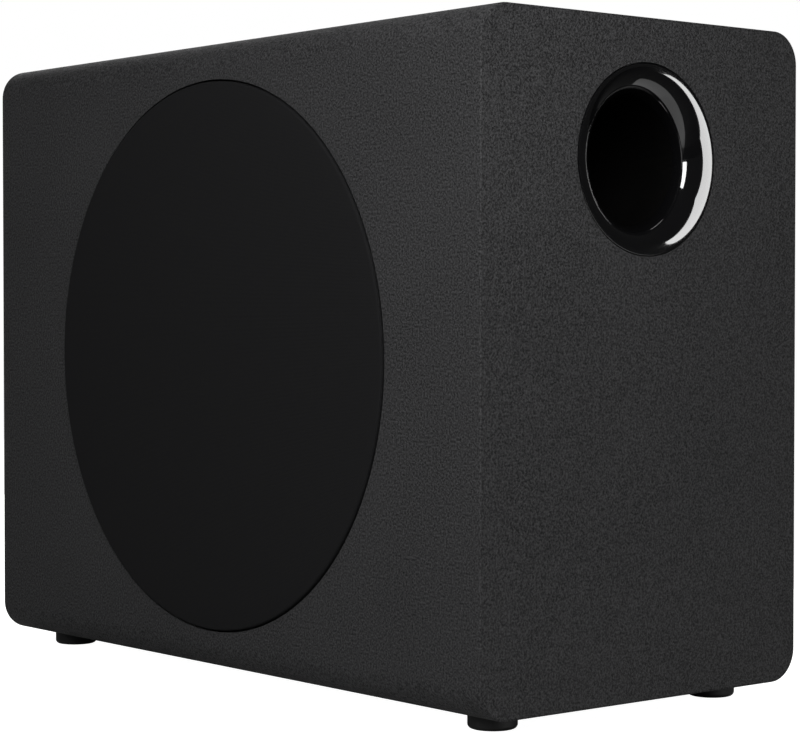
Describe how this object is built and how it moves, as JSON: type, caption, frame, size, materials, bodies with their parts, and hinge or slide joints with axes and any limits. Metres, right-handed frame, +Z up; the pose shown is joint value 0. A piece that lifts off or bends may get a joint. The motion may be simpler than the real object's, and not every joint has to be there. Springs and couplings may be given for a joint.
{
  "type": "wireless subwoofer of a soundbar system",
  "caption": "Box-shaped subwoofer of a soundbar system: wrapped cabinet with a round cloth grille, woofer, flared end port, amplifier plate and rubber feet.",
  "frame": {"origin": "on the ground under the middle of the cabinet, at the level of the feet's undersides", "axes": "+X towards the end with the port, -Y towards the grille, +Z up"},
  "size_m": [0.337, 0.171, 0.2675],
  "materials": {
    "fibreboard": "raw medium-density fibreboard, sanded",
    "softwood": "planed softwood batten",
    "vinyl_wrap": "black vinyl film with a fine pebble grain",
    "wadding": "white polyester wadding",
    "foot_rubber": "matte black moulded rubber",
    "black_steel": "black coated steel",
    "black_plastic": "matte black moulded plastic",
    "grille_fabric": "fine black speaker cloth, tightly stretched",
    "black_foam": "closed-cell black foam",
    "surround_rubber": "smooth black butyl rubber",
    "spider_cloth": "resin-treated woven cloth",
    "plated_steel": "zinc-plated steel",
    "ferrite": "dark grey sintered ferrite",
    "fibre_strip": "brown phenolic strip with tinned tags",
    "copper": "enamelled copper",
    "cone_paper": "black pressed paper pulp",
    "former_metal": "thin aluminium foil tube",
    "port_gloss": "high-gloss black moulded plastic",
    "tube_card": "black wound card tube",
    "plate_paint": "fine-textured black powder coat",
    "nickel": "nickel-plated brass",
    "rocker_gloss": "satin black rocker cap",
    "clear_lens": "clear moulded light pipe",
    "brass_post": "turned brass spacer",
    "board_green": "solder-masked circuit board",
    "core_tape": "ferrite core in yellow polyester tape",
    "capacitor_sleeve": "dark blue shrink sleeve",
    "bare_aluminium": "bare extruded aluminium",
    "lead_sheath": "black flexible sheath"
  },
  "bodies": {
    "cabinet": {"front_baffle": "fibreboard", "back_panel": "fibreboard", "top_panel": "fibreboard", "bottom_panel": "fibreboard", "port_end_panel": "fibreboard", "amp_end_panel": "fibreboard", "glue_block_top_front": "softwood", "glue_block_top_back": "softwood", "glue_block_low_front": "softwood", "glue_block_low_back": "softwood", "wrap_sleeve": "vinyl_wrap", "port_end_skin": "vinyl_wrap", "amp_end_skin": "vinyl_wrap", "damping_pad": "wadding", "foot_port_front": "foot_rubber", "foot_port_back": "foot_rubber", "foot_amp_front": "foot_rubber", "foot_amp_back": "foot_rubber", "foot_screws": "black_steel", "grille_sockets": "foot_rubber", "driver_gasket": "black_foam", "basket": "black_steel", "driver_screws": "black_steel", "surround": "surround_rubber", "edge_ring": "black_foam", "spider": "spider_cloth", "top_plate": "plated_steel", "magnet": "ferrite", "yoke": "plated_steel", "terminal_strip": "fibre_strip", "tinsel_leads": "copper", "port_trim": "port_gloss", "port_tube": "tube_card", "port_tail": "black_plastic", "amp_plate": "plate_paint", "amp_gasket": "black_foam", "amp_screws": "black_steel", "inlet_shell": "black_plastic", "inlet_pins": "nickel", "switch_shell": "black_plastic", "status_lens": "clear_lens", "standoffs": "brass_post", "amp_board": "board_green", "transformer": "core_tape", "capacitors": "capacitor_sleeve", "output_coils": "copper", "heatsink": "bare_aluminium", "wireless_board": "board_green", "pair_switch": "black_plastic", "antenna": "black_plastic", "speaker_lead": "lead_sheath", "mains_wires": "lead_sheath"},
    "cone": {"cone": "cone_paper", "dust_cap": "cone_paper", "coil_former": "former_metal", "voice_coil": "copper"},
    "grille": {"grille_frame": "black_plastic", "grille_cloth": "grille_fabric"},
    "power_rocker": {"power_rocker": "rocker_gloss"},
    "pair_button": {"pair_button": "black_plastic"}
  },
  "joints": [
    {"name": "cone_travel", "type": "slide", "parent": "cabinet", "child": "cone", "axis": [0, -1, 0], "range_m": [-0.005, 0.005], "stiffness_N_per_m": 3000, "deforming": ["surround", "spider", "tinsel_leads"]},
    {"name": "grille_pull", "type": "slide", "parent": "cabinet", "child": "grille", "axis": [0, -1, 0], "range_m": [0, 0.04]},
    {"name": "pair_button_press", "type": "slide", "parent": "cabinet", "child": "pair_button", "axis": [1, 0, 0], "range_m": [0, 0.0008], "stiffness_N_per_m": 1500},
    {"name": "rocker_tilt", "type": "hinge", "parent": "cabinet", "child": "power_rocker", "pos_m": [-0.1642, 0, 0.103], "axis": [0, -1, 0], "range_deg": [0, 20]}
  ]
}
